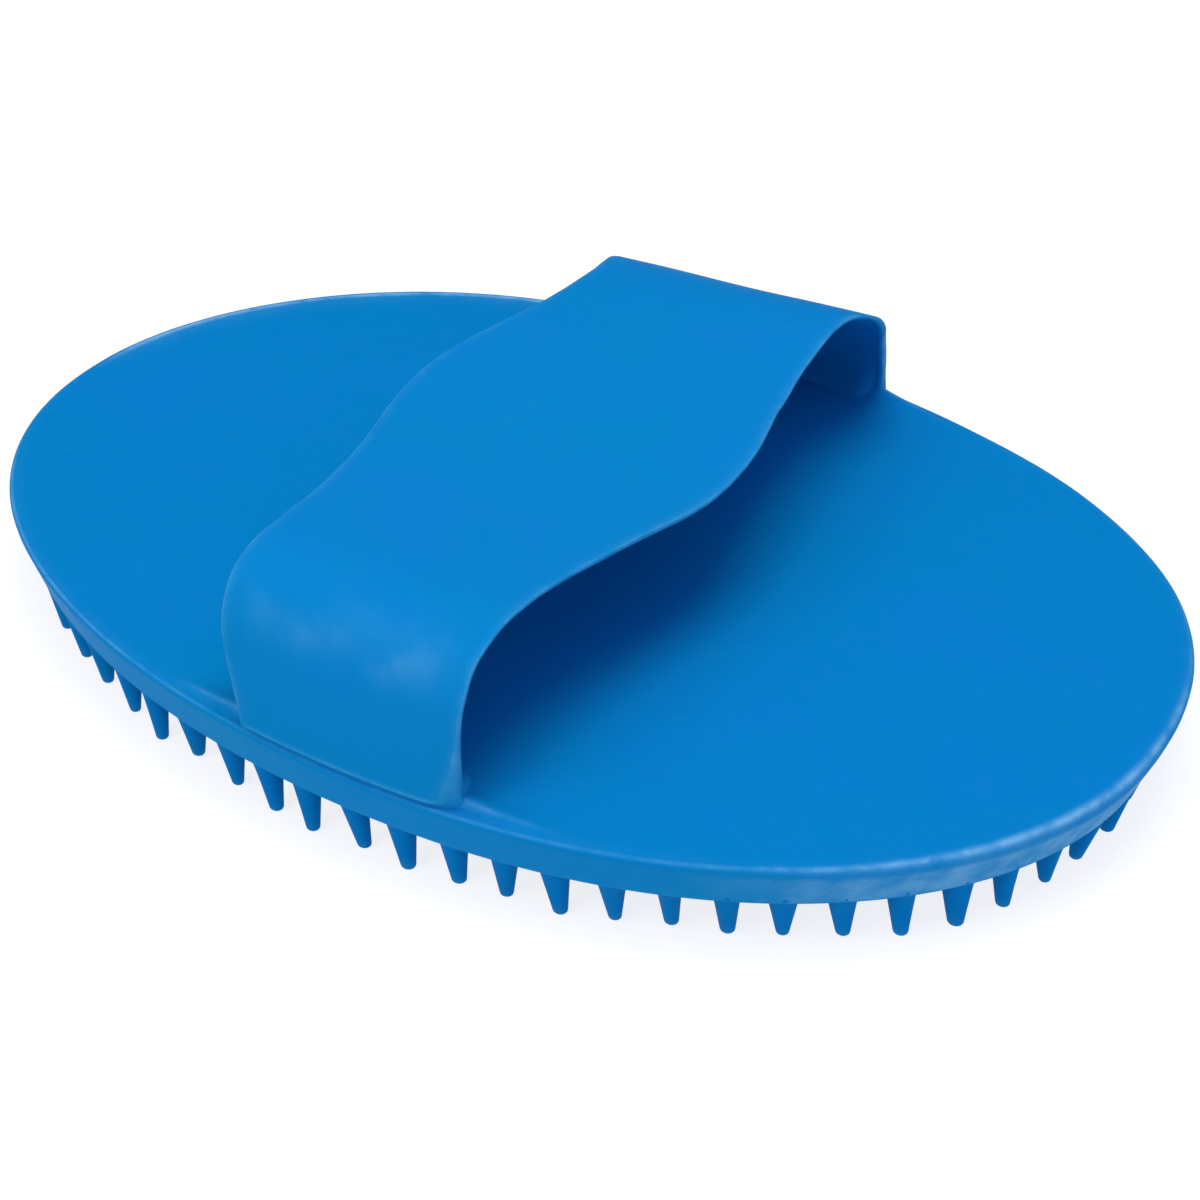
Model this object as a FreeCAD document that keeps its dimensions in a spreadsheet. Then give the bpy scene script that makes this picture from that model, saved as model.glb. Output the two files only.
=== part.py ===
import FreeCAD, Part
import math
import os

# Rubber curry brush, millimetres.
# +Z up, X along the oval's long axis, Y along its short axis.
# The origin is under the centre of the pad, in the plane of the peg tips.

doc = FreeCAD.newDocument("curry_brush")

# ---------------------------------------------------------------- sizes
sheet = doc.addObject("Spreadsheet::Sheet", "Sizes")
rows = [
    ("pad_half_length", 82.7, "half length of the pad at its top edge"),
    ("pad_half_width", 60.3, "half width of the pad at its top edge"),
    ("peg_drop", 7.2, "rim's underside above the peg tips"),
    ("rim_height", 6.8, "height of the rim band"),
    ("rim_inset", 2.4, "how far the rim's wall leans in over its height"),
    ("rim_band", 6.0, "width of the rim's top, edge to deck"),
    ("edge_round", 1.0, "radius of the rim's top edge"),
    ("deck_thick", 5.0, "thickness of the deck inside the rim"),
    ("near_out", 59.2, "outer face of the strap's near foot from the centre line"),
    ("far_out", 58.4, "outer face of the strap's far foot from the centre line"),
    ("far_lean", 5.6, "how far the far leg leans in over its height"),
    ("near_rise", 21.7, "outer height of the near shoulder above the pad"),
    ("middle_rise", 20.2, "outer height of the strap's middle above the pad"),
    ("far_rise", 20.9, "outer height of the far shoulder above the pad"),
    ("strap_thick", 1.8, "thickness of the strap's crown"),
    ("leg_thick", 3.2, "thickness of the strap's legs"),
    ("root_thick", 6.4, "thickness of the strap where it leaves the pad"),
    ("root_height", 3.5, "height of the strap's thick root"),
    ("leg_top", 12.0, "height above the pad where legs end and shoulders start"),
    ("near_root_half", 13.7, "half width of the strap's near foot"),
    ("near_half", 16.5, "half width of the strap's near shoulder"),
    ("crown_half", 23.2, "half width of the strap at its middle"),
    ("far_half", 20.3, "half width of the strap's far shoulder"),
    ("far_root_half", 18.2, "half width of the strap's far foot"),
    ("peg_base_r", 1.95, "radius of a peg at its root"),
    ("peg_tip_r", 0.75, "radius of a peg at its tip"),
    ("peg_lean", 0.9, "how far an outer peg's tip sits inward of its root"),
    ("ring_gap", 8.2, "distance between rings of pegs"),
    ("peg_pitch", 6.75, "spacing of the outer pegs along their ring"),
    ("inner_pitch", 8.2, "spacing of the inner pegs along their rings"),
]
for i, (name, value, note) in enumerate(rows, start=1):
    sheet.set("A%d" % i, name)
    sheet.set("B%d" % i, str(value))
    sheet.set("C%d" % i, note)
    sheet.setAlias("B%d" % i, name)
doc.recompute()


def size(name):
    return float(sheet.get(name))


S = "Sizes."


# ---------------------------------------------------------------- pad
def ellipse(name, major, minor, z):
    e = doc.addObject("Part::Ellipse", name)
    e.setExpression("MajorRadius", major)
    e.setExpression("MinorRadius", minor)
    e.setExpression("Placement.Base.z", z)
    return e


def plate(name, base, height):
    x = doc.addObject("Part::Extrusion", name)
    x.Base = base
    x.DirMode = "Custom"
    x.Dir = FreeCAD.Vector(0, 0, 1)
    x.Solid = True
    x.setExpression("LengthFwd", height)
    return x


low = ellipse("rim_low_edge", S + "pad_half_length - " + S + "rim_inset",
              S + "pad_half_width - " + S + "rim_inset", S + "peg_drop")
high = ellipse("rim_high_edge", S + "pad_half_length", S + "pad_half_width",
               S + "peg_drop + " + S + "rim_height")
inner = ellipse("rim_inner_edge", S + "pad_half_length - " + S + "rim_band",
                S + "pad_half_width - " + S + "rim_band", S + "peg_drop - 1")
deck_edge = ellipse("deck_edge", S + "pad_half_length - " + S + "rim_band",
                    S + "pad_half_width - " + S + "rim_band",
                    S + "peg_drop + " + S + "rim_height - " + S + "deck_thick")
doc.recompute()

body = doc.addObject("Part::Loft", "rim_block")
body.Sections = [low, high]
body.Solid = True
body.Ruled = True
doc.recompute()

top_edge = None
z_top = size("peg_drop") + size("rim_height")
for k, e in enumerate(body.Shape.Edges, start=1):
    if len(e.Vertexes) == 1 and abs(e.BoundBox.ZMin - z_top) < 1e-6 and e.BoundBox.ZLength < 1e-6:
        top_edge = k
rounded = doc.addObject("Part::Fillet", "rim_rounded")
rounded.Base = body
rounded.Edges = [(top_edge, size("edge_round"), size("edge_round"))]
doc.recompute()

hole = plate("rim_hole", inner, S + "rim_height + 2")
rim = doc.addObject("Part::Cut", "pad_rim")
rim.Base = rounded
rim.Tool = hole

deck = plate("pad_deck", deck_edge, S + "deck_thick")
doc.recompute()


# ---------------------------------------------------------------- strap
def vec(x, y, z):
    return FreeCAD.Vector(x, y, z)


def curve(points):
    c = Part.BSplineCurve()
    c.interpolate(points)
    return c.toShape()


def arch_face():
    """Side view of the whole strap as a face in the YZ plane."""
    z0 = z_top
    near = size("near_out")
    far = size("far_out")
    lean = size("far_lean") / 5.6
    hn = size("near_rise")
    hm = size("middle_rise")
    hf = size("far_rise")
    t = size("strap_thick")
    leg = size("leg_thick")
    root = size("root_thick")
    rh = size("root_height")
    # outer skin: distance along Y, height above the pad, thickness there
    skin = [
        (-near, 0.0, root), (-near - 0.2, 5.0, leg), (-near, 10.0, leg * 0.94),
        (-near + 0.8, 14.8, 0.5 * (leg + t)), (-near + 3.2, hn - 2.3, t), (-near + 7.8, hn - 0.2, t),
        (-near + 14.2, hn, t), (-36.0, hn - 0.6, t), (-24.0, 0.3 * hn + 0.7 * hm - 0.1, t),
        (-12.0, hm, t), (0.0, hm, t), (12.0, hm + 0.2, t), (24.0, 0.5 * (hm + hf), t),
        (35.5, hf - 0.05, t), (far - 15.7, hf - 0.8, t), (far - 9.0 - lean, hf - 3.6, t),
        (far - lean * 6.3, 13.2, 0.6 * t + 0.4 * leg), (far - lean * 3.7, 8.5, 0.95 * leg),
        (far - lean * 1.5, 4.1, leg * 1.1), (far, 0.0, root)]
    outer = [vec(0, y, z0 + h) for y, h, w in skin]
    inner = []
    for k in range(1, len(skin) - 1):
        y, h, w = skin[k]
        dy = skin[k + 1][0] - skin[k - 1][0]
        dz = skin[k + 1][1] - skin[k - 1][1]
        l = math.hypot(dy, dz)
        inner.append(vec(0, y + w * dz / l, z0 + h - w * dy / l))
    near_in = [vec(0, -near + root, z0), vec(0, -near + leg + 0.8, z0 + 0.5 * rh)]
    far_in = [vec(0, far - root - 0.6, z0), vec(0, far - leg - 1.9, z0 + 0.5 * rh)]
    inner = near_in + inner + list(reversed(far_in))
    return Part.Face(Part.Wire([
        curve(outer),
        Part.LineSegment(outer[-1], inner[-1]).toShape(),
        curve(list(reversed(inner))),
        Part.LineSegment(inner[0], outer[0]).toShape()]))


def plan_face():
    """Top view of the strap: narrow at the near end, widest in the middle."""
    n = size("near_half")
    m = size("crown_half")
    f = size("far_half")
    end = 62.0
    low = 19.0 / 20.3 * f
    table = [(-end, n), (-51.2, n), (-44.0, n + 0.1), (-36.0, n + 0.6), (-29.6, n + 1.7), (-24.0, n + 3.0),
             (-16.8, n + 4.9), (-9.3, m - 0.5), (-2.0, m), (6.0, m - 1.1), (14.0, 0.55 * m + 0.45 * low),
             (23.4, low + 0.1), (35.2, 0.5 * (low + f) - 0.9), (42.7, 0.35 * low + 0.65 * f), (48.0, f),
             (end, f)]
    right = curve([vec(w, y, 0) for y, w in table])
    left = curve([vec(-w, y, 0) for y, w in reversed(table)])
    return Part.Face(Part.Wire([
        right, Part.LineSegment(vec(f, end, 0), vec(-f, end, 0)).toShape(),
        left, Part.LineSegment(vec(-n, -end, 0), vec(n, -end, 0)).toShape()]))


def front_face(root_half, shoulder_half):
    """End view of one end of the strap: the leg narrows towards the pad, then flares."""
    z0 = z_top
    b = root_half
    a = shoulder_half
    h = 20.0
    pts = [vec(b + 1.4, 0, z0), vec(b + 0.2, 0, z0 + 1.2), vec(b + 0.3, 0, z0 + 3.5),
           vec(0.5 * (a + b) + 0.1, 0, z0 + 8.0), vec(a, 0, z0 + h - 6.0)]
    right = curve(pts)
    left = curve([vec(-p.x, 0, p.z) for p in reversed(pts)])
    w = size("crown_half") + 2
    up = z0 + h - 6.0

    def line(p, q):
        return Part.LineSegment(vec(p[0], 0, p[1]), vec(q[0], 0, q[1])).toShape()

    return Part.Face(Part.Wire([
        right, line((a, up), (w, up + 0.5)), line((w, up + 0.5), (w, z0 + h + 4)),
        line((w, z0 + h + 4), (-w, z0 + h + 4)), line((-w, z0 + h + 4), (-w, up + 0.5)),
        line((-w, up + 0.5), (-a, up)), left, line((-pts[0].x, z0), (pts[0].x, z0))]))


arch = arch_face()
arch.translate(vec(-40, 0, 0))
strap = arch.extrude(vec(80, 0, 0))
plan = plan_face()
strap = strap.common(plan.extrude(vec(0, 0, 60)))
near_front = front_face(size("near_root_half"), size("near_half"))
near_front.translate(vec(0, -80, 0))
far_front = front_face(size("far_root_half"), size("far_half"))
near_strap = strap.common(near_front.extrude(vec(0, 80, 0)))
far_strap = strap.common(far_front.extrude(vec(0, 80, 0)))
strap = near_strap.fuse(far_strap).removeSplitter()


def slice_of(shape, y0, y1, za, zb):
    box = Part.makeBox(120, y1 - y0, zb - za, vec(-60, y0, za))
    out = shape.common(box)
    return out.Solids[0] if len(out.Solids) == 1 else out


z_root = z_top + size("root_height")
z_leg = z_top + size("leg_top")
strap_parts = {
    "strap_foot_near": slice_of(strap, -80, 0, z_top, z_root),
    "strap_foot_far": slice_of(strap, 0, 80, z_top, z_root),
    "strap_leg_near": slice_of(strap, -80, 0, z_root, z_leg),
    "strap_leg_far": slice_of(strap, 0, 80, z_root, z_leg),
    "strap_crown": slice_of(strap, -80, 80, z_leg, 80),
}
made = {"pad_deck": deck, "pad_rim": rim}
for name, shape in strap_parts.items():
    o = doc.addObject("Part::Feature", name)
    o.Shape = shape
    o.Placement = FreeCAD.Placement(vec(0, 0, 0), FreeCAD.Rotation())
    made[name] = o


# ---------------------------------------------------------------- pegs
def ring_points(a, b, pitch):
    """Points evenly spaced along an ellipse, with the outward direction of each."""
    steps = 7200
    pts = [(a * math.cos(2 * math.pi * i / steps), b * math.sin(2 * math.pi * i / steps))
           for i in range(steps + 1)]
    run = [0.0]
    for p, q in zip(pts, pts[1:]):
        run.append(run[-1] + math.hypot(q[0] - p[0], q[1] - p[1]))
    n = 2 * int(round(run[-1] / pitch / 2))
    out = []
    j = 0
    for k in range(n):
        want = (k + 0.5) * run[-1] / n
        while run[j + 1] < want:
            j += 1
        f = (want - run[j]) / (run[j + 1] - run[j])
        x = pts[j][0] + f * (pts[j + 1][0] - pts[j][0])
        y = pts[j][1] + f * (pts[j + 1][1] - pts[j][1])
        nx, ny = x / (a * a), y / (b * b)
        l = math.hypot(nx, ny)
        out.append((x, y, nx / l, ny / l))
    return out


def circle(x, y, z, r):
    return Part.Wire(Part.makeCircle(r, vec(x, y, z), vec(0, 0, 1)))


def leaning_peg(x, y, nx, ny, z):
    lean = size("peg_lean")
    return Part.makeLoft([circle(x - nx * lean, y - ny * lean, 0, size("peg_tip_r")),
                          circle(x, y, z, size("peg_base_r"))], True, True)


def straight_peg(x, y, z):
    return Part.makeCone(size("peg_tip_r"), size("peg_base_r"), z, vec(x, y, 0), vec(0, 0, 1))


def add_pegs(name, pegs):
    o = doc.addObject("Part::Feature", name)
    o.Shape = Part.makeCompound(pegs)
    o.Placement = FreeCAD.Placement(vec(0, 0, 0), FreeCAD.Rotation())
    made[name] = o


inset = size("rim_inset") + size("peg_base_r")
a0 = size("pad_half_length") - inset
b0 = size("pad_half_width") - inset
z_rim = size("peg_drop")
z_deck = z_top - size("deck_thick")
gap = size("ring_gap")
add_pegs("peg_ring_outer",
         [leaning_peg(x, y, nx, ny, z_rim) for x, y, nx, ny in ring_points(a0, b0, size("peg_pitch"))])
names = ["peg_ring_second", "peg_ring_third", "peg_ring_fourth", "peg_ring_fifth",
         "peg_ring_sixth", "peg_ring_seventh"]
for k, name in enumerate(names, start=1):
    add_pegs(name, [straight_peg(x, y, z_deck) for x, y, nx, ny
                    in ring_points(a0 - k * gap, b0 - k * gap, size("inner_pitch"))])
half_row = a0 - 6 * gap - gap
count = 2 * int(half_row // size("inner_pitch")) + 1
add_pegs("peg_row_centre", [straight_peg((i - (count - 1) / 2.0) * size("inner_pitch"), 0.0, z_deck)
                            for i in range(count)])

# ---------------------------------------------------------------- checks and files
doc.recompute()
for o in doc.Objects:
    for bad in ("Invalid", "Error"):
        if bad in o.State:
            raise RuntimeError("%s is %s" % (o.Name, bad))
os.makedirs("parts", exist_ok=True)
for name, o in made.items():
    o.Label = name
    if o.Shape.isNull() or not o.Shape.isValid():
        raise RuntimeError("%s has no valid shape" % name)
    for s in o.Shape.Solids:
        if s.Volume <= 0:
            raise RuntimeError("%s has an inside-out solid" % name)
    print("%-18s solids %3d  volume %10.1f  z %6.2f..%6.2f  y %7.2f..%7.2f" % (
        name, len(o.Shape.Solids), o.Shape.Volume, o.Shape.BoundBox.ZMin, o.Shape.BoundBox.ZMax,
        o.Shape.BoundBox.YMin, o.Shape.BoundBox.YMax))
    o.Shape.exportStep("parts/%s.step" % name)
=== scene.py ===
import math
import random

import bpy
import numpy as np
from mathutils import Matrix, Vector


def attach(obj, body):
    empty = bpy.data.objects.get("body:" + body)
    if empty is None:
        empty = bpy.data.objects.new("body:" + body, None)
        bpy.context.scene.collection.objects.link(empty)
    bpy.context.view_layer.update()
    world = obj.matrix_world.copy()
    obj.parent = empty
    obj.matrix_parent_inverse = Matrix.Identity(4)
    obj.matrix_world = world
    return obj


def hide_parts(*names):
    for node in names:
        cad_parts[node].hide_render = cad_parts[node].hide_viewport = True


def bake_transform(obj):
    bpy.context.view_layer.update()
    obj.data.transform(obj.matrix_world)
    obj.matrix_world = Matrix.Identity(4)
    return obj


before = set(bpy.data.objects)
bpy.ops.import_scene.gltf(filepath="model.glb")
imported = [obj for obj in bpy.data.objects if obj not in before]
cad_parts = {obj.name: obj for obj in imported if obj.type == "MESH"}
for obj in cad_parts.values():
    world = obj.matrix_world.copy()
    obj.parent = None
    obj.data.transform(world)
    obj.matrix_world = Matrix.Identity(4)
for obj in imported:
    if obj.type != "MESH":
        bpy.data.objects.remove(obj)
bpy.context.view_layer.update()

# ------------------------------------------------------------------ sizes, in mm
HALF_L, HALF_W, POWER = 82.5, 60.17, 2.107
# the moulding isn't a true oval: it swells outward by these amounts round its edge
SWELL = (0.22, ((1, -0.27, 0.04), (2, 0.18, -0.09), (3, 0.03, 0.17), (4, -0.01, 0.40)))
TRIM = ((-180, -0.40), (-165, -0.50), (-150, -0.50), (-130, -0.45), (-110, -0.20), (-90, 0.0), (-30, 0.0),
        (-12, -0.5), (0, -1.0), (10, -1.25), (20, -0.85), (30, -0.25), (45, 0.1), (55, 0.2), (65, 0.0),
        (80, -0.05), (105, 0.0), (120, -0.1), (130, -0.45), (140, -0.8), (150, -1.0), (160, -0.85),
        (170, -0.55), (180, -0.40))
Z_TOP, RIM_H, RIM_IN = 14.0, 6.8, 2.45
Z_RIM = Z_TOP - RIM_H
DECK_T = 5.0
BAND = 6.0
SEG = 480
SLOPE = RIM_IN / RIM_H


# ------------------------------------------------------------------ smooth seeded noise
class Noise:
    """Value noise in 3-D: the same numbers each time for one seed."""

    def __init__(self, seed):
        self.t = np.random.RandomState(seed).rand(32, 32, 32) * 2 - 1

    def __call__(self, p, scale):
        q = np.asarray(p, float) / scale + 1000.0
        i = np.floor(q).astype(int)
        f = q - i
        f = f * f * (3 - 2 * f)
        out = 0
        for dx in (0, 1):
            for dy in (0, 1):
                for dz in (0, 1):
                    w = (np.where(dx, f[..., 0], 1 - f[..., 0])
                         * np.where(dy, f[..., 1], 1 - f[..., 1])
                         * np.where(dz, f[..., 2], 1 - f[..., 2]))
                    out = out + w * self.t[(i[..., 0] + dx) % 32, (i[..., 1] + dy) % 32,
                                           (i[..., 2] + dz) % 32]
        return out


noise = Noise(7)


# ------------------------------------------------------------------ the oval
def outline(steps=28800):
    """Closely spaced points round the pad's top edge, and the outward direction at each."""
    t = np.linspace(0, 2 * math.pi, steps + 1) + 1e-6
    c, s = np.cos(t), np.sin(t)
    x = HALF_L * np.sign(c) * np.abs(c) ** (2 / POWER)
    y = HALF_W * np.sign(s) * np.abs(s) ** (2 / POWER)
    dx, dy = np.gradient(x), np.gradient(y)
    l = np.hypot(dx, dy) + 1e-12
    nx, ny = dy / l, -dx / l
    ph = np.arctan2(y / HALF_W, x / HALF_L)
    d = SWELL[0] + sum(p * np.cos(k * ph) + q * np.sin(k * ph) for k, p, q in SWELL[1])
    # a periodic smoothing of the table keeps the edge fair
    table = np.interp(np.arange(-180, 180), *zip(*TRIM))
    kernel = np.exp(-(np.arange(-15, 16) / 7.0) ** 2)
    table = np.convolve(np.r_[table[-15:], table, table[:15]], kernel / kernel.sum(), "valid")
    d = d + np.interp(np.degrees(ph), np.arange(-180, 181), np.r_[table, table[0]])
    return x + nx * d, y + ny * d, nx, ny


OX, OY, ONX, ONY = outline()


def oval(count):
    """Points evenly spaced round the pad's top edge, and their outward directions."""
    run = np.r_[0, np.cumsum(np.hypot(np.diff(OX), np.diff(OY)))]
    want = np.arange(count) / count * run[-1]
    px, py = np.interp(want, run, OX), np.interp(want, run, OY)
    tx = np.roll(px, -1) - np.roll(px, 1)
    ty = np.roll(py, -1) - np.roll(py, 1)
    l = np.hypot(tx, ty)
    return np.stack([px, py], 1), np.stack([ty / l, -tx / l], 1)


EDGE, OUT = oval(SEG)
THETA = np.arctan2(EDGE[:, 1] / HALF_W, EDGE[:, 0] / HALF_L)


def edge_y(x, far):
    """How far the pad's edge lies from the long axis at x, on the near or the far side."""
    keep = OY > 0 if far else OY < 0
    order = np.argsort(OX[keep])
    return np.interp(x, OX[keep][order], np.abs(OY[keep][order]))


def ring(inset, z):
    """One loop of the oval, moved in by inset, at height z above the pad's top plane."""
    ins = np.broadcast_to(np.asarray(inset, float), (SEG,)).reshape(-1, 1)
    zz = np.broadcast_to(np.asarray(z, float), (SEG,)) + Z_TOP
    return np.column_stack([EDGE - OUT * ins, zz])


def smooth(v):
    v = np.clip(v, 0.0, 1.0)
    return v * v * (3 - 2 * v)


def make(name, verts, faces, mat, wear_and_highlight=None, sharp=50.0):
    me = bpy.data.meshes.new(name)
    me.from_pydata([tuple(v) for v in np.asarray(verts) * 0.001], [], [tuple(f) for f in faces])
    me.update()
    me.polygons.foreach_set("use_smooth", [True] * len(me.polygons))
    me.set_sharp_from_angle(angle=math.radians(sharp))
    # how pale each place is painted: real rubbing on the peg tips, and painted highlights along the rim's edge,
    # the foot webs' crests, the strap's edges and its near shoulder
    at = me.attributes.new("wear_and_highlight", "FLOAT", "POINT")
    at.data.foreach_set("value", np.zeros(len(verts)) if wear_and_highlight is None else np.asarray(wear_and_highlight, float))
    o = bpy.data.objects.new(name, me)
    bpy.context.scene.collection.objects.link(o)
    o.data.materials.append(mat)
    return o


def loft(loops, close_ends="none", wrap=False):
    """Quads between loops of equal length. The ends may be closed with a fan."""
    n = len(loops[0])
    verts = np.vstack(loops)
    faces = []
    count = len(loops)
    idx = np.arange(n)
    nxt = (idx + 1) % n
    for k in range(count - 1 if not wrap else count):
        a = k * n
        b = ((k + 1) % count) * n
        faces += list(zip((a + idx).tolist(), (a + nxt).tolist(), (b + nxt).tolist(), (b + idx).tolist()))
    if close_ends != "none":
        for which, k in (("first", 0), ("last", count - 1)):
            if close_ends in ("both", which):
                centre = verts[k * n:(k + 1) * n].mean(0)
                verts = np.vstack([verts, centre])
                c = len(verts) - 1
                if which == "first":
                    faces += [(int(k * n + j), int(c), int(k * n + i)) for i, j in zip(idx, nxt)]
                else:
                    faces += [(int(k * n + i), int(c), int(k * n + j)) for i, j in zip(idx, nxt)]
    return verts, faces


# ------------------------------------------------------------------ materials
def rubber(name, dark, light, rough=0.46, seed=0.0, wear_highlight_colour=(0.06, 0.30, 0.55), wear_highlight_amount=0.5,
           bump=0.25, speck=0.5, level=0.006):
    m = bpy.data.materials.new(name)
    m.use_nodes = True
    nt = m.node_tree
    nt.nodes.clear()
    N = nt.nodes.new
    L = nt.links.new
    out = N("ShaderNodeOutputMaterial")
    b = N("ShaderNodeBsdfPrincipled")
    L(b.outputs[0], out.inputs[0])
    tc = N("ShaderNodeTexCoord")
    mp = N("ShaderNodeMapping")
    mp.inputs["Location"].default_value = (seed, seed * 0.7, seed * 1.3)
    L(tc.outputs["Object"], mp.inputs[0])

    def tex(scale, detail=3.0, rough=0.55):
        t = N("ShaderNodeTexNoise")
        t.inputs["Scale"].default_value = scale
        t.inputs["Detail"].default_value = detail
        t.inputs["Roughness"].default_value = rough
        L(mp.outputs[0], t.inputs["Vector"])
        return t.outputs["Fac"]

    def ramp(fac, a, c, lo=0.0, hi=1.0):
        r = N("ShaderNodeMapRange")
        r.inputs["From Min"].default_value = a
        r.inputs["From Max"].default_value = c
        r.inputs["To Min"].default_value = lo
        r.inputs["To Max"].default_value = hi
        L(fac, r.inputs["Value"])
        return r.outputs[0]

    def math_node(op, a, c):
        n = N("ShaderNodeMath")
        n.operation = op
        for i, v in enumerate((a, c)):
            if isinstance(v, (int, float)):
                n.inputs[i].default_value = v
            else:
                L(v, n.inputs[i])
        return n.outputs[0]

    # broad cloudiness of the moulded colour
    mix = N("ShaderNodeMix")
    mix.data_type = "RGBA"
    mix.inputs["A"].default_value = (*dark, 1)
    mix.inputs["B"].default_value = (*light, 1)
    L(ramp(tex(38.0, 4.0), 0.3, 0.7), mix.inputs["Factor"])
    # pale colour from the per-point attribute: real rubbing on the peg tips, and painted highlights on edges,
    # crests and the strap's near shoulder; plus a few small scuffs everywhere
    wear_highlight_node = N("ShaderNodeAttribute")
    wear_highlight_node.attribute_name = "wear_and_highlight"
    scuff = ramp(tex(420.0, 5.0, 0.7), 0.56, 0.80)
    pale_mix = math_node("MULTIPLY", wear_highlight_node.outputs["Fac"], ramp(tex(260.0, 4.0, 0.65), 0.34, 0.66, 0.25, 1.0))
    pale_mix = math_node("ADD", math_node("MULTIPLY", pale_mix, wear_highlight_amount),
                     math_node("MULTIPLY", scuff, wear_highlight_amount * 0.07))
    mix2 = N("ShaderNodeMix")
    mix2.data_type = "RGBA"
    L(pale_mix, mix2.inputs["Factor"])
    L(mix.outputs["Result"], mix2.inputs["A"])
    mix2.inputs["B"].default_value = (*wear_highlight_colour, 1)
    L(mix2.outputs["Result"], b.inputs["Base Color"])
    # uneven sheen
    r = math_node("ADD", ramp(tex(55.0, 3.0), 0.3, 0.7, rough - 0.05, rough + 0.05),
                  ramp(tex(900.0, 2.0), 0.3, 0.7, -0.03, 0.03))
    L(r, b.inputs["Roughness"])
    b.inputs["Specular IOR Level"].default_value = level
    b.inputs["Specular Tint"].default_value = (0.10, 0.62, 1.0, 1.0)
    b.inputs["IOR"].default_value = 1.50
    # moulded skin: very fine grain, soft ripples and a few pits
    g1 = tex(2600.0, 3.0, 0.6)
    g2 = tex(260.0, 2.0, 0.5)
    vor = N("ShaderNodeTexVoronoi")
    vor.inputs["Scale"].default_value = 520.0
    L(mp.outputs[0], vor.inputs["Vector"])
    pits = ramp(vor.outputs["Distance"], 0.0, 0.10, -1.0, 0.0)
    h = math_node("ADD", math_node("MULTIPLY", g1, 0.10), math_node("MULTIPLY", g2, 0.35))
    h = math_node("ADD", h, math_node("MULTIPLY", pits, 0.03 * speck))
    bp = N("ShaderNodeBump")
    bp.inputs["Strength"].default_value = bump
    bp.inputs["Distance"].default_value = 0.00035
    L(h, bp.inputs["Height"])
    L(bp.outputs[0], b.inputs["Normal"])
    return m


# the pale colour given to the pad and strap is mostly a painted highlight on edges, crests and the shoulder; on
# the pegs it is real rubbing at the tips
PAD = rubber("pad_rubber", (0.0010, 0.201, 0.446), (0.0024, 0.190, 0.494), wear_highlight_colour=(0.15, 0.39, 0.62),
             wear_highlight_amount=0.42)
STRAP = rubber("strap_rubber", (0.0020, 0.208, 0.458), (0.0038, 0.194, 0.506), rough=0.45, seed=3.1,
               wear_highlight_amount=0.8, level=0.0015)
# the pegs' rubber is the pad's rubber painted darker: painted shade for the pegs under the rim
PEG = rubber("peg_rubber", (0.0004, 0.150, 0.402), (0.0010, 0.157, 0.440), rough=0.50, seed=7.7,
             wear_highlight_amount=0.3)


# ------------------------------------------------------------------ the swelling at each foot
# middle and half width of each foot, and how high the pad rises beside it
FEET = {False: (0.9, 14.6, 1.0), True: (-0.1, 17.6, 0.9)}


def swelling(x, y, inset):
    """Height that the moulding adds to the pad's top where a foot runs out along the rim."""
    x, y, inset = np.broadcast_arrays(np.asarray(x, float), np.asarray(y, float),
                                      np.asarray(inset, float))
    out = np.zeros(x.shape)
    for far, (mid, half, high) in FEET.items():
        away = np.abs(x - mid) - half
        past = np.maximum(away, 0.0)
        # the web stands high against the leg, drops quickly, then runs out along the rim
        along = high * (1 - smooth(past / 15.0)) ** 1.2 + 0.5 * np.exp(-past / 2.0) * (1 - smooth(past / 9.0))
        inner = 2.6 - 0.9 * smooth(past / 12.0)
        across = smooth((inset - 1.45) / 0.6) * (1 - smooth((inset - inner - 0.1) / 3.2))
        out = out + np.where((y > 0) == far, along * across, 0.0)
    return out


def top_height(x, y, inset):
    """The pad's top isn't dead flat: shallow waves, fading out towards its edge."""
    p = np.column_stack([x, y, np.zeros(len(x))])
    fade = smooth((np.broadcast_to(np.asarray(inset, float), (len(x),)) - 2.2) / 9.0)
    return fade * (0.16 * noise(p, 31.0) + 0.05 * noise(p + 77, 12.0)) + swelling(x, y, inset)


# ------------------------------------------------------------------ rim
# rounding of the top edge, which differs round the pad
R = (0.85 + 0.25 * np.cos(THETA) ** 2 * (np.cos(THETA) > 0) - 0.30 * np.maximum(0.0, -np.sin(THETA))
     + 0.30 * np.exp(-((THETA + 0.45) / 0.45) ** 2))
a = math.atan(SLOPE)
tl = R / math.tan((math.pi / 2 - a) / 2)   # from the sharp corner to where the rounding starts
one = np.ones(SEG)
# third value of each row: how pale it is painted. The top edge's rounding carries a painted highlight, strongest
# on its upper middle rows; the wall's lower rounding a weaker one, and the wall a faint one
prof = [(v * one, 0 * one, 0.0) for v in (BAND, 5.7, 5.3, 4.8, 4.3, 3.8, 3.3, 2.9, 2.6, 2.3)]
first = 2.3
prof += [(np.maximum(tl + 0.05, first - k * (first - tl) / 7), 0 * one, 0.10 * k / 6) for k in range(1, 7)]
ARC0 = len(prof)
for k in range(15):
    ph = math.pi / 2 - (math.pi / 2 + a) * k / 14
    prof.append((tl - R * math.cos(ph), -R + R * math.sin(ph), math.exp(-((k - 4.5) / 2.6) ** 2)))
ws = prof[-1][1]
for k in range(1, 7):
    z = ws + (-RIM_H + 0.4 - ws) * k / 6
    prof.append((-z * SLOPE, z, 0.05))
for k in range(1, 6):
    ph = math.pi / 2 * k / 5
    prof.append(((RIM_IN - 0.4 * SLOPE + 0.42 * (1 - math.cos(ph))) * one,
                 (-RIM_H + 0.4 - 0.4 * math.sin(ph)) * one, 0.25))
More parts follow.
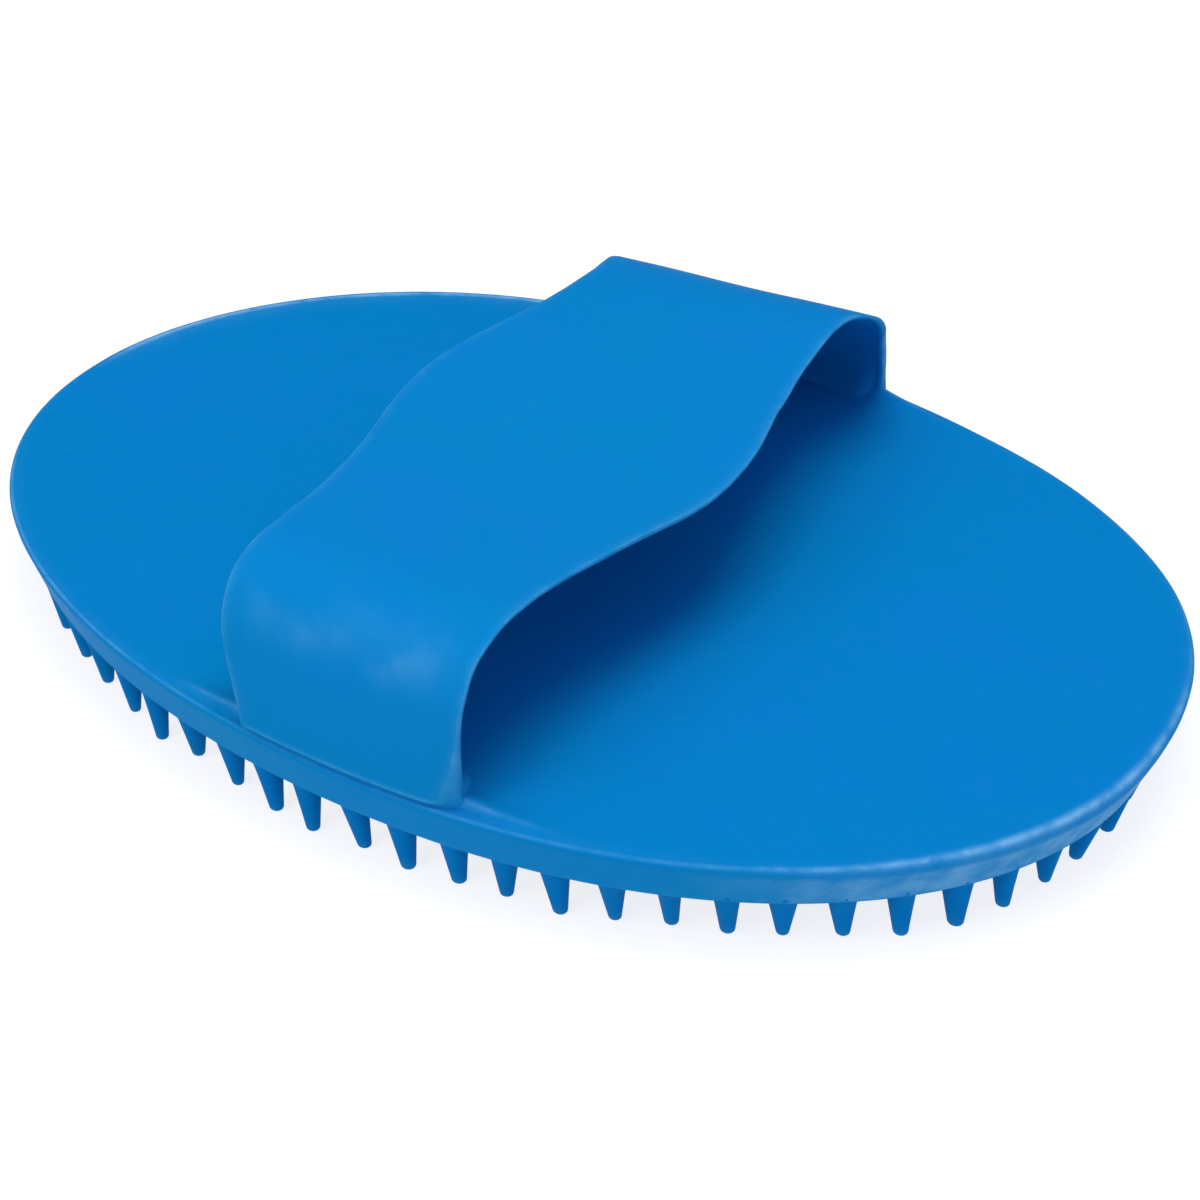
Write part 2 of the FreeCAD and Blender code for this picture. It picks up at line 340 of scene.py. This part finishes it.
prof += [(p * one, q * one, 0.0) for p, q in
         ((3.4, -RIM_H), (4.4, -RIM_H), (5.2, -RIM_H), (5.6, -RIM_H + 0.06), (5.9, -RIM_H + 0.3),
          (BAND, -RIM_H + 0.7), (BAND, -DECK_T - 0.35), (BAND, -DECK_T), (BAND, -2.5))]
# painted highlights: the right end's edge and wall, the far left edge with a band just inside it, and the left
# end's wall are painted paler; the front's edge is painted less pale
DEG = np.degrees(THETA)
right_end = smooth((DEG + 62) / 25.0) * (1 - smooth((DEG + 5) / 25.0))
far_left = smooth((DEG - 92) / 16.0) * (1 - smooth((DEG - 168) / 14.0))
left_end = np.maximum(smooth((-DEG - 110) / 35.0), smooth((DEG - 148) / 28.0))
front = smooth((DEG + 128) / 22.0) * (1 - smooth((DEG + 66) / 26.0))
loops, wear_and_highlight = [], []
for i, (d, z, w) in enumerate(prof):
    p = ring(d, z)
    if i <= ARC0:
        p[:, 2] += top_height(p[:, 0], p[:, 1], d)
    # the moulded edge isn't perfectly even
    if ARC0 <= i < ARC0 + 21:
        n = noise(np.column_stack([p[:, :2], np.full(SEG, 3.0)]), 17.0)
        n2 = noise(np.column_stack([p[:, :2], np.full(SEG, 9.0)]), 5.0)
        k = min(1.0, (i - ARC0 + 1) / 5)
        p[:, :2] += OUT * ((n * 0.10 + n2 * 0.025) * k).reshape(-1, 1)
        p[:, 2] += k * 0.05 * noise(np.column_stack([p[:, :2], np.full(SEG, 40.0)]), 23.0)
    loops.append(p)
    # painted highlight along the crest of each foot's web, where it runs out along the rim
    crest_highlight = np.exp(-((d - 2.15) / 0.32) ** 2) * np.clip(swelling(p[:, 0], p[:, 1], d) / 0.7, 0, 1.2)
    w = np.full(SEG, w) + (crest_highlight if i <= ARC0 else 0.0)
    if ARC0 <= i < ARC0 + 15:
        w = w * (1 + 1.3 * right_end + 2.5 * far_left - 0.45 * front) + 0.35 * right_end
    elif ARC0 + 15 <= i < ARC0 + 21:
        w = w + 1.5 * right_end + 0.7 * left_end
    elif 10 <= i < ARC0:
        w = w + far_left * (0.35 + 3.5 * (i - 9) / (ARC0 - 10))
    elif i < 10:
        w = w + 0.35 * far_left * (i / 9) ** 2
    wear_and_highlight.append(w)
v, f = loft(loops, wrap=True)
rim = make("rim", v, [q[::-1] for q in f], PAD, np.concatenate(wear_and_highlight))
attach(rim, "pad")
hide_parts("pad_rim")

# ------------------------------------------------------------------ deck
inner = EDGE - OUT * BAND
REACH = np.hypot(inner[:, 0], inner[:, 1])


def deck_loop(s, z, uneven):
    p = inner * s
    zz = np.full(SEG, z + Z_TOP)
    if uneven:
        zz = zz + top_height(p[:, 0], p[:, 1], BAND + (1 - s) * 0.75 * REACH)
    return np.column_stack([p, zz])


top = [deck_loop(s, 0.0, True) for s in
       (1.0, 0.985, 0.96, 0.93, 0.9, 0.86, 0.81, 0.76, 0.7, 0.64, 0.58, 0.51, 0.44, 0.37, 0.3, 0.23, 0.16, 0.1, 0.05, 0.02)]
low = [deck_loop(s, -DECK_T, False) for s in
       (0.02, 0.1, 0.2, 0.35, 0.5, 0.65, 0.8, 0.9, 0.97, 1.0)]
v, f = loft([top[-1]] + top[::-1][1:] + low[::-1], close_ends="both")
deck = make("deck", v, [q[::-1] for q in f], PAD)
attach(deck, "pad")
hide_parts("pad_deck")


# ------------------------------------------------------------------ pegs
rng = random.Random(11)
PEG_DROP = Z_RIM


def peg(x, y, nx, ny, z_base, lean, outer, z_tip=0.0, radii=(1.65, 1.65, 0.78)):
    """One moulded peg: a filleted root, a tapering shank and a rounded blunt tip."""
    n = 24
    r_side, r_in, tip_r = radii
    h = z_base - z_tip
    rows = [(z_base + 0.9, 0.34), (z_base + 0.02, 0.34), (z_base - 0.10, 0.18), (z_base - 0.30, 0.06),
            (z_base - 0.60, 0.0)]
    z_end = z_tip + 0.36
    for k in range(1, 8):
        rows.append((z_base - 0.60 + (z_end - (z_base - 0.60)) * k / 7, 0.0))
    for k in range(1, 5):
        rows.append((z_end - 0.36 * math.sin(math.pi / 2 * k / 4), -0.36 * (1 - math.cos(math.pi / 2 * k / 4))))
    rows.append((z_tip, -0.55))
    ang = np.arange(n) * 2 * math.pi / n
    normal = np.array([nx, ny])
    side = np.array([-ny, nx])
    loops, wear_and_highlight = [], []
    for zz, extra in rows:
        t = (z_base - zz) / h
        tt = max(0.0, t) ** 0.94
        ra = r_in + (tip_r - r_in) * tt
        rb = r_side + (tip_r - r_side) * tt
        # the root flares to the sides and inward, but its outer face stays in the rim's wall
        ea = extra if extra < 0 else 0.0
        ra, rb = ra + ea, rb + extra
        if outer:
            # along the outward direction, measured from the root's centre
            face = 1.95 - t * h * SLOPE * 0.86
            c0 = face - (ra - ea)
            lean_n = lean[0] * max(0.0, t) ** 1.1
        else:
            c0 = 0.0
            lean_n = lean[0] * max(0.0, t)
            ra = ra + max(0.0, extra)
        c = np.array([x, y]) + normal * (c0 + lean_n) + side * lean[1] * max(0.0, t)
        p = c + np.outer(np.cos(ang) * ra, normal) + np.outer(np.sin(ang) * rb, side)
        loops.append(np.column_stack([p, np.full(n, zz)]))
        wear_and_highlight.append(np.full(n, 0.8 * max(0.0, t - 0.75) / 0.25))
    v, f = loft(loops, close_ends="both")
    wear_and_highlight = np.concatenate(wear_and_highlight + [np.zeros(1), np.full(1, 0.8)])
    return v, f, wear_and_highlight


def add_group(name, parts, node):
    vs, fs, ws, at = [], [], [], 0
    for v, f, w in parts:
        vs.append(v)
        ws.append(w)
        fs += [tuple(i + at for i in q) for q in f]
        at += len(v)
    o = make(name, np.vstack(vs), fs, PEG, np.concatenate(ws))
    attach(o, "pad")
    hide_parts(node)
    return o


def along(x, y, nx, ny, arcs=None, pitch=None):
    """Places along a closed line, with the outward direction at each."""
    run = np.r_[0, np.cumsum(np.hypot(np.diff(x), np.diff(y)))]
    if arcs is None:
        n = 2 * int(round(run[-1] / pitch / 2))
        arcs = (np.arange(n) + 0.5) / n * run[-1]
    return [tuple(float(np.interp(w % run[-1], run, q)) for q in (x, y, nx, ny)) for w in arcs]


# the pegs stand as unevenly round the rim as the moulding left them: angle round the oval,
# root's half width along the ring and across it, tip radius, tip's lean outward and along,
# and how far the tip stops short
SEEN = [
    (224.69, 1.6, 1.95, 0.72, 0.6, 0.1, 0), (231.04, 1.6, 1.95, 0.72, 0.4, 0, 0),
    (236.50, 1.6, 2.02, 0.72, 0.38, -0.01, 0), (242.38, 1.6, 1.89, 0.65, 0.53, 0.16, 0),
    (247.09, 1.68, 1.69, 0.77, 1.18, 0.89, 0), (252.39, 1.65, 2.1, 0.77, 0.04, -0.11, 0.37),
    (257.50, 1.74, 1.95, 0.7, 0.39, 0.39, 0), (261.87, 1.93, 1.85, 0.85, 1.03, 1.1, 0),
    (266.04, 1.83, 1.79, 0.83, 1.26, 0.88, 0), (270.34, 1.76, 1.77, 0.84, 0.31, 0.88, 0),
    (274.50, 1.9, 1.85, 0.9, 0.86, 0.86, 0), (279.24, 1.76, 1.94, 0.9, 0.22, 0.41, 0),
    (283.82, 1.78, 1.98, 0.8, -0.02, 0.05, 0.05), (288.24, 1.91, 1.86, 0.88, 0.61, 0.86, 0),
    (293.31, 1.86, 1.92, 0.76, -0.25, 0.51, 0.07), (298.44, 1.53, 1.98, 0.86, -0.4, 0.55, 0.66),
    (303.70, 1.72, 1.97, 0.89, -0.1, 0.59, 0.33), (309.02, 1.98, 1.95, 0.75, -0.01, 0.6, 0.43),
    (314.91, 1.96, 2, 0.85, 0.43, 0.87, 0.43), (321.24, 1.89, 2.08, 0.9, 1.18, 0.78, 0),
    (328.02, 2.15, 2.16, 0.98, 1.49, 0.53, 0), (334.50, 1.57, 2.13, 0.86, 1.1, 0.58, 0.36),
    (341.35, 1.64, 2.18, 0.69, 0.69, 0.44, 0.99), (349.13, 1.62, 2.09, 0.79, 0.27, -0, 0.26),
    (356.85, 1.6, 1.98, 0.88, 0.72, -0.03, 0),
]
inset = RIM_IN + 1.95
rx, ry = OX - ONX * inset, OY - ONY * inset
around = np.degrees(np.linspace(0, 2 * math.pi, len(OX)))
ring_run = np.r_[0, np.cumsum(np.hypot(np.diff(rx), np.diff(ry)))]
SEEN = [(float(np.interp(row[0], around, ring_run)),) + row[1:] for row in SEEN]
first, last = SEEN[0][0] + float(ring_run[-1]), SEEN[-1][0]
REST = [(last + (first - last) * k / 38 + rng.uniform(-0.5, 0.5), rng.uniform(1.6, 1.95), rng.uniform(1.85, 2.1),
         rng.uniform(0.72, 0.9), rng.uniform(-0.1, 1.0), rng.uniform(-0.6, 0.6), rng.uniform(0.0, 0.4))
        for k in range(1, 38)]
places = along(rx, ry, ONX, ONY, arcs=[row[0] for row in SEEN + REST])
parts = []
for (x, y, nx, ny), (_, rs, ri, tip, out, side, short) in zip(places, SEEN + REST):
    parts.append(peg(x, y, nx, ny, Z_RIM, (out, side), True, short, (rs, ri, tip)))
add_group("pegs_outer", parts, "peg_ring_outer")

GAP = 8.2
for k, (node, piece) in enumerate((("peg_ring_second", "pegs_second"), ("peg_ring_third", "pegs_third"),
                                   ("peg_ring_fourth", "pegs_fourth"), ("peg_ring_fifth", "pegs_fifth"),
                                   ("peg_ring_sixth", "pegs_sixth"), ("peg_ring_seventh", "pegs_seventh")),
                                  start=1):
    parts = []
    a0, b0 = 78.35 - k * GAP, 55.95 - k * GAP
    t = np.linspace(0, 2 * math.pi, 7201)
    x, y = a0 * np.cos(t), b0 * np.sin(t)
    nx, ny = np.cos(t) / a0, np.sin(t) / b0
    l = np.hypot(nx, ny)
    for x, y, nx, ny in along(x, y, nx / l, ny / l, pitch=8.2):
        lean = (rng.uniform(-0.25, 0.25), rng.uniform(-0.25, 0.25))
        parts.append(peg(x + rng.uniform(-0.15, 0.15), y + rng.uniform(-0.15, 0.15), nx, ny,
                         Z_TOP - DECK_T, lean, False, abs(rng.gauss(0, 0.12)) + (0.5 if k == 1 else 0.0)))
    add_group(piece, parts, node)
parts = []
for k in range(-2, 3):
    lean = (rng.uniform(-0.2, 0.2), rng.uniform(-0.2, 0.2)) if k else (0.0, 0.0)
    parts.append(peg(k * 8.2, 0.0, 1, 0, Z_TOP - DECK_T, lean, False, 0.0))
add_group("pegs_centre", parts, "peg_row_centre")

# ------------------------------------------------------------------ strap
# outer skin: y, height above the pad, left edge, right edge, thickness, and how much higher
# the right edge is than the middle
SKIN = [
    (-59.25, -1.24, -13.55, 15.30, 5.6, 0.00), (-59.60, 3.87, -14.25, 15.60, 4.0, 0.00),
    (-59.30, 9.25, -15.25, 16.35, 3.2, -0.01), (-58.60, 14.74, -15.95, 16.70, 2.5, 0.02),
    (-56.14, 19.21, -16.20, 16.85, 1.8, 0.02), (-51.36, 21.46, -16.32, 17.08, 1.5, -0.02),
    (-44.90, 21.67, -16.42, 17.15, 1.45, 0.03), (-36.09, 20.93, -16.98, 17.80, 1.45, 0.00),
    (-24.23, 20.14, -19.23, 20.12, 1.45, -0.05), (-12.36, 19.73, -22.22, 23.15, 1.45, -0.12),
    (-0.56, 20.22, -22.97, 23.32, 1.45, -0.03), (11.49, 20.54, -21.08, 21.22, 1.45, 0.28),
    (23.39, 20.67, -19.55, 19.75, 1.45, 0.97), (34.99, 20.72, -19.37, 19.50, 1.45, 1.76),
    (41.84, 19.07, -20.78, 21.13, 1.45, 1.49), (46.72, 16.00, -21.58, 21.05, 1.5, 0.98),
    (50.62, 11.92, -21.03, 19.90, 1.7, 0.46), (53.94, 7.58, -20.08, 18.99, 2.4, 0.14),
    (56.67, 3.70, -18.94, 18.19, 3.8, 0.01), (58.65, -1.05, -18.02, 17.91, 5.6, 0.00),
]


def spline(P, k=24):
    P = np.asarray(P, float)
    Q = np.vstack([2 * P[0] - P[1], P, 2 * P[-1] - P[-2]])
    out = []
    for i in range(len(P) - 1):
        p0, p1, p2, p3 = Q[i:i + 4]
        for t in np.arange(k) / k:
            out.append(0.5 * (2 * p1 + (-p0 + p2) * t + (2 * p0 - 5 * p1 + 4 * p2 - p3) * t * t
                              + (-p0 + 3 * p1 - 3 * p2 + p3) * t ** 3))
    out.append(P[-1])
    return np.array(out)


D = spline(SKIN)
# light smoothing so that the profile has no bumps of its own
for _ in range(40):
    D[1:-1] += 0.25 * (D[2:] - 2 * D[1:-1] + D[:-2])
run = np.r_[0, np.cumsum(np.hypot(np.diff(D[:, 0]), np.diff(D[:, 1])))]
total = run[-1]
fine = np.concatenate([np.arange(0, 3.2, 0.16), np.arange(3.2, 9, 0.5)])
mid = np.arange(9, total - 9, 0.9)
stations = np.concatenate([fine, mid, (total - fine)[::-1]])
T = np.column_stack([np.interp(stations, run, D[:, c]) for c in range(6)])
ty, tz = np.gradient(T[:, 0], stations), np.gradient(T[:, 1], stations)
l = np.hypot(ty, tz)
inward = np.column_stack([tz / l, -ty / l])     # towards the hand gap

# cross-section: a closed loop round a flat band with soft edges
ACROSS = 41
ARC = 7


def section(left, right, thick, edge, r_left, r_right):
    """(x, depth, pale) points: outer face left to right, right edge, inner face back, left edge; the third value
    paints a highlight along the rounded edges.

    The band is thick in its middle and thins to its edges."""
    r_in = 0.45 * edge
    feather = min(3.2, 0.35 * (right - left))

    def deep(x):
        return edge + (thick - edge) * float(smooth(min(x - left, right - x) / feather))

    pts = []
    for t in np.linspace(0, 1, ACROSS):
        x = left + r_left + (right - r_right - left - r_left) * t
        near_edge = min(x - left - r_left, right - r_right - x)
        pts.append((x, 0.0, 0.35 * math.exp(-near_edge / 0.4)))
    for k in range(1, ARC):
        ph = math.pi / 2 * k / ARC
        pts.append((right - r_right + r_right * math.sin(ph), r_right - r_right * math.cos(ph), 1.0))
    for k in range(0, ARC):
        ph = math.pi / 2 * k / ARC
        x = right - r_in + r_in * math.cos(ph)
        pts.append((x, deep(right - r_in) - r_in + r_in * math.sin(ph), 0.6 if k < 2 else 0.1))
    for t in np.linspace(0, 1, ACROSS):
        x = right - r_in + (left + r_in - right + r_in) * (0.5 - 0.5 * math.cos(math.pi * t))
        pts.append((x, deep(x), 0.0))
    for k in range(1, ARC):
        ph = math.pi / 2 * k / ARC
        x = left + r_in - r_in * math.sin(ph)
        pts.append((x, deep(left + r_in) - r_in + r_in * math.cos(ph), 0.2))
    for k in range(0, ARC):
        ph = math.pi / 2 * k / ARC
        pts.append((left + r_left - r_left * math.cos(ph), r_left - r_left * math.sin(ph), 0.9))
    return np.array(pts)


loops, wear_and_highlight = [], []
for i, (y, h, left, right, thick, tilt) in enumerate(T):
    far = y > 0
    foot = abs(y) > 48
    hh = max(h, 0.0)
    leg = math.exp(-(hh / 12.0) ** 3) if foot else 0.0
    root = math.exp(-max(h - 0.6, 0.0) / 1.1) if foot else 0.0
    # thin edges all the way, thickening into the root
    edge = 0.62 + (0.30 if not far else 0.35) * leg + (2.2 if not far else 3.0) * root
    if not far:
        edge += 0.22 * math.exp(-((y + 22) / 16.0) ** 2)
        if foot:
            edge += 2.2 * math.exp(-(hh / 6.5) ** 2)
    else:
        edge += 0.85 * float(smooth((y - 40.0) / 8.0)) * (1 - root)
    r_left = min(0.26 + (0.55 if not far else 0.2) * leg + (0.25 if y < -46 else 0.0), 0.62 * edge)
    r_right = min(0.26 + (0.40 if not far else 0.12) * leg
                  + (1.1 * math.exp(-(hh / 6.5) ** 2) if foot and not far else 0.0), 0.5 * edge)
    if not far and foot:
        right = right + 0.5 * math.exp(-((hh - 5.0) / 5.0) ** 2)
    side = (1.9 if not far else 0.9) * math.exp(-max(h, 0.0) / (1.7 if not far else 0.9)) if foot else 0.0
    th = max(thick + 1.8 * root, edge)
    S = section(left, right, th, edge, r_left, r_right)
    x, d, w = S[:, 0].copy(), S[:, 1].copy(), S[:, 2].copy()
    half = 0.5 * (right - left)
    mid = 0.5 * (right + left)
    if foot and side > 0.02:
        # the flare at the root is a fillet that runs into the rim's crest, back from the outer face
        flare = smooth((np.abs(x - mid) - half + 2.6) / 2.6) * np.exp(-((d - 1.5) / 0.85) ** 2)
        x = x + np.where(x > mid, 1.0, -0.45) * side * flare
        # the painted edge highlights are weaker on the foot's corners than on the edges higher up
        w = w * (1 - 0.75 * math.exp(-(hh / 4.0) ** 2))
    # near the pad the outer face follows the rim's curve, and a groove parts it from the rim
    hug = math.exp(-(hh / 13.0) ** 2) if abs(y) > 45 else 0.0
    sgn = 1.0 if far else -1.0
    shift = (edge_y(x, far) - edge_y(half, far)) * hug
    face = np.clip(1 - d / (0.5 * th), 0, 1)
    if foot and not far:
        # the near leg's face rolls back a little towards its right edge
        d = d + face * 0.45 * leg * smooth((x - (right - 4.5)) / 4.5) ** 2
    if foot:
        inside = smooth((half - np.abs(x - mid)) / 2.5)
        d = d - face * inside * (0.17 * math.exp(-((h - 0.85) / 0.33) ** 2)
                                 - 0.26 * math.exp(-((h - 0.12) / 0.26) ** 2))
        # painted highlight along the low ridge at the base of each leg's outer face
        w = np.maximum(w, 0.8 * face * inside * math.exp(-((h - 0.85) / 0.25) ** 2))
    # painted highlight: a pale strip along the far leg's side edges
    if far and foot:
        w = np.where(np.abs(x - mid) > half - 0.75, np.maximum(w * 1.5, 1.3 * (d < 0.8 * edge)), w)
    if not far and 12.0 < h and y < -50:
        # painted highlight: a soft, patchy pale patch across the near shoulder, where light catches it
        q = np.column_stack([x, np.full(len(x), y), np.full(len(x), h)])
        shoulder_highlight = np.clip(0.55 + 0.9 * noise(q + 11, 6.5) + 0.35 * noise(q + 31, 2.6), 0, 1.3)
        w = w + face * shoulder_highlight * 0.55 * math.exp(-((h - 17.6) / 2.5) ** 2) * np.clip((half - 1.5 - np.abs(x - mid)) / 3, 0, 1)
    ny, nz = inward[i]
    px = x
    py = y + ny * d + sgn * shift
    if foot:
        # low down the outer face keeps just inside the rim's edge
        over = np.maximum(0.0, np.abs(py) - (edge_y(px, far) - (0.45 if far else 0.10)))
        py = py - sgn * over * face * math.exp(-(hh / 3.0) ** 2)
    pz = Z_TOP + h + nz * d + tilt * (x - mid) / half
    # hand-worn unevenness
    q = np.column_stack([px, py, pz])
    amp = 0.16 * float(smooth((h - 1.5) / 5.0)) + 0.02
    u = noise(q, 14.0) * amp + noise(q + 50, 5.0) * 0.02
    # the trimmed edges wander a little
    rim_side = np.clip((np.abs(x - mid) - half + 2.0) / 2.0, 0, 1)
    px = px + rim_side * (0.12 * noise(q + 90, 7.0) + 0.06 * noise(q + 130, 2.2)) * np.sign(x)
    py = py + ny * u
    pz = pz + nz * u
    loops.append(np.column_stack([px, py, pz]))
    wear_and_highlight.append(w)
v, f = loft(loops, close_ends="both")
strap = make("strap", v, f, STRAP, np.concatenate(wear_and_highlight + [np.zeros(2)]))
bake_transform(strap)
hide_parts("strap_foot_near", "strap_foot_far", "strap_leg_near", "strap_leg_far", "strap_crown")

# ------------------------------------------------------------------ studio
scene = bpy.context.scene
floor_me = bpy.data.meshes.new("floor")
floor_me.from_pydata([(-30, -30, 0), (30, -30, 0), (30, 30, 0), (-30, 30, 0)], [], [(0, 1, 2, 3)])
floor = bpy.data.objects.new("floor", floor_me)
scene.collection.objects.link(floor)
fm = bpy.data.materials.new("floor_white")
fm.use_nodes = True
nt = fm.node_tree
nt.nodes.clear()
out = nt.nodes.new("ShaderNodeOutputMaterial")
dif = nt.nodes.new("ShaderNodeBsdfDiffuse")
dif.inputs["Color"].default_value = (0.24, 0.24, 0.24, 1)
emi = nt.nodes.new("ShaderNodeEmission")
emi.inputs["Color"].default_value = (1, 1, 1, 1)
# the floor glows white; the glow is painted dim under the middle of the pad, a painted shadow beneath it, bright
# round it, and dimmer far away
place = nt.nodes.new("ShaderNodeTexCoord")
scale = nt.nodes.new("ShaderNodeVectorMath")
scale.operation = "MULTIPLY"
scale.inputs[1].default_value = (1 / 0.082, 1 / 0.060, 0)
nt.links.new(place.outputs["Object"], scale.inputs[0])
length = nt.nodes.new("ShaderNodeVectorMath")
length.operation = "LENGTH"
nt.links.new(scale.outputs[0], length.inputs[0])
curve = nt.nodes.new("ShaderNodeValToRGB")
curve.color_ramp.interpolation = "EASE"
for k, (at, v) in enumerate(((0.050, 0.20), (0.075, 0.82), (0.40, 0.82), (1.0, 0.66))):
    e = curve.color_ramp.elements[k] if k < 2 else curve.color_ramp.elements.new(at)
    e.position, e.color = at, (v, v, v, 1)
shrink = nt.nodes.new("ShaderNodeMath")
shrink.operation = "MULTIPLY"
shrink.inputs[1].default_value = 0.09
nt.links.new(length.outputs["Value"], shrink.inputs[0])
nt.links.new(shrink.outputs[0], curve.inputs[0])
nt.links.new(curve.outputs["Color"], emi.inputs["Color"])
emi.inputs["Strength"].default_value = 1.0
add = nt.nodes.new("ShaderNodeAddShader")
nt.links.new(dif.outputs[0], add.inputs[0])
nt.links.new(emi.outputs[0], add.inputs[1])
nt.links.new(add.outputs[0], out.inputs[0])
floor.data.materials.append(fm)

world = bpy.data.worlds.new("studio")
scene.world = world
world.use_nodes = True
wt = world.node_tree
bg = wt.nodes["Background"]
# the studio is brightest overhead and dims towards the horizon, more so behind the object
gen = wt.nodes.new("ShaderNodeTexCoord")
sep = wt.nodes.new("ShaderNodeSeparateXYZ")
wt.links.new(gen.outputs["Generated"], sep.inputs[0])


def world_math(op, p, q):
    n = wt.nodes.new("ShaderNodeMath")
    n.operation = op
    for i, u in enumerate((p, q)):
        if isinstance(u, (int, float)):
            n.inputs[i].default_value = u
        else:
            wt.links.new(u, n.inputs[i])
    return n.outputs[0]


height = world_math("MAXIMUM", sep.outputs[2], 0.0)
sky = world_math("ADD", world_math("MULTIPLY", world_math("MULTIPLY", height, height), 0.55), 0.16)
sky = world_math("MULTIPLY", sky, world_math("ADD", world_math("MULTIPLY", sep.outputs[1], -0.45), 1.0))
# a pale band at the horizon
band = world_math("POWER", 2.718, world_math("MULTIPLY", world_math("MULTIPLY", height, height), -60.0))
sky = world_math("ADD", sky, world_math("MULTIPLY", band, 0.40))
wt.links.new(sky, bg.inputs["Strength"])
tone = wt.nodes.new("ShaderNodeMix")
tone.data_type = "RGBA"
tone.inputs["A"].default_value = (0.80, 0.94, 1.58, 1)
tone.inputs["B"].default_value = (0.92, 0.96, 1.02, 1)
wt.links.new(band, tone.inputs["Factor"])
wt.links.new(tone.outputs["Result"], bg.inputs["Color"])


def lamp(name, loc, target, size_xy, power, colour=(1, 1, 1)):
    d = bpy.data.lights.new(name, "AREA")
    d.shape = "RECTANGLE"
    d.size, d.size_y = size_xy
    d.energy = power
    d.color = colour
    o = bpy.data.objects.new(name, d)
    o.location = loc
    o.rotation_euler = (Vector(target) - Vector(loc)).to_track_quat("-Z", "Y").to_euler()
    scene.collection.objects.link(o)
    return o


lamp("key", (0.02, -0.05, 0.95), (0, 0, 0), (0.52, 0.52), 4.65, (1.0, 1.0, 0.80))
lamp("front_high", (-0.22, -0.66, 0.62), (0, 0, 0.01), (0.45, 0.25), 2.4, (1.0, 1.0, 0.86))
lamp("right", (0.92, 0.10, 0.26), (0, 0, 0.01), (0.4, 0.3), 1.1, (0.93, 0.97, 1.05))

# ------------------------------------------------------------------ camera
AZ, EL, DIST, ROLL = 0.4785, 0.6042, 319.72, 0.0578
target = Vector((9.2223, -12.5802, Z_TOP))
d = Vector((math.sin(AZ) * math.cos(EL), -math.cos(AZ) * math.cos(EL), math.sin(EL)))
pos = target + d * DIST
fwd = -d
right = fwd.cross(Vector((0, 0, 1))).normalized()
up = right.cross(fwd)
c, s = math.cos(ROLL), math.sin(ROLL)
r2 = right * c + up * s
u2 = up * c - right * s
cam_data = bpy.data.cameras.new("camera")
cam_data.lens = 2497.2 / 1200 * 36
cam_data.sensor_width = 36
cam_data.clip_start = 0.01
cam = bpy.data.objects.new("camera", cam_data)
m = Matrix((r2, u2, -fwd)).transposed().to_4x4()
m.translation = pos * 0.001
cam.matrix_world = m
scene.collection.objects.link(cam)
scene.camera = cam
scene.view_settings.view_transform = "Standard"
scene.view_settings.look = "None"
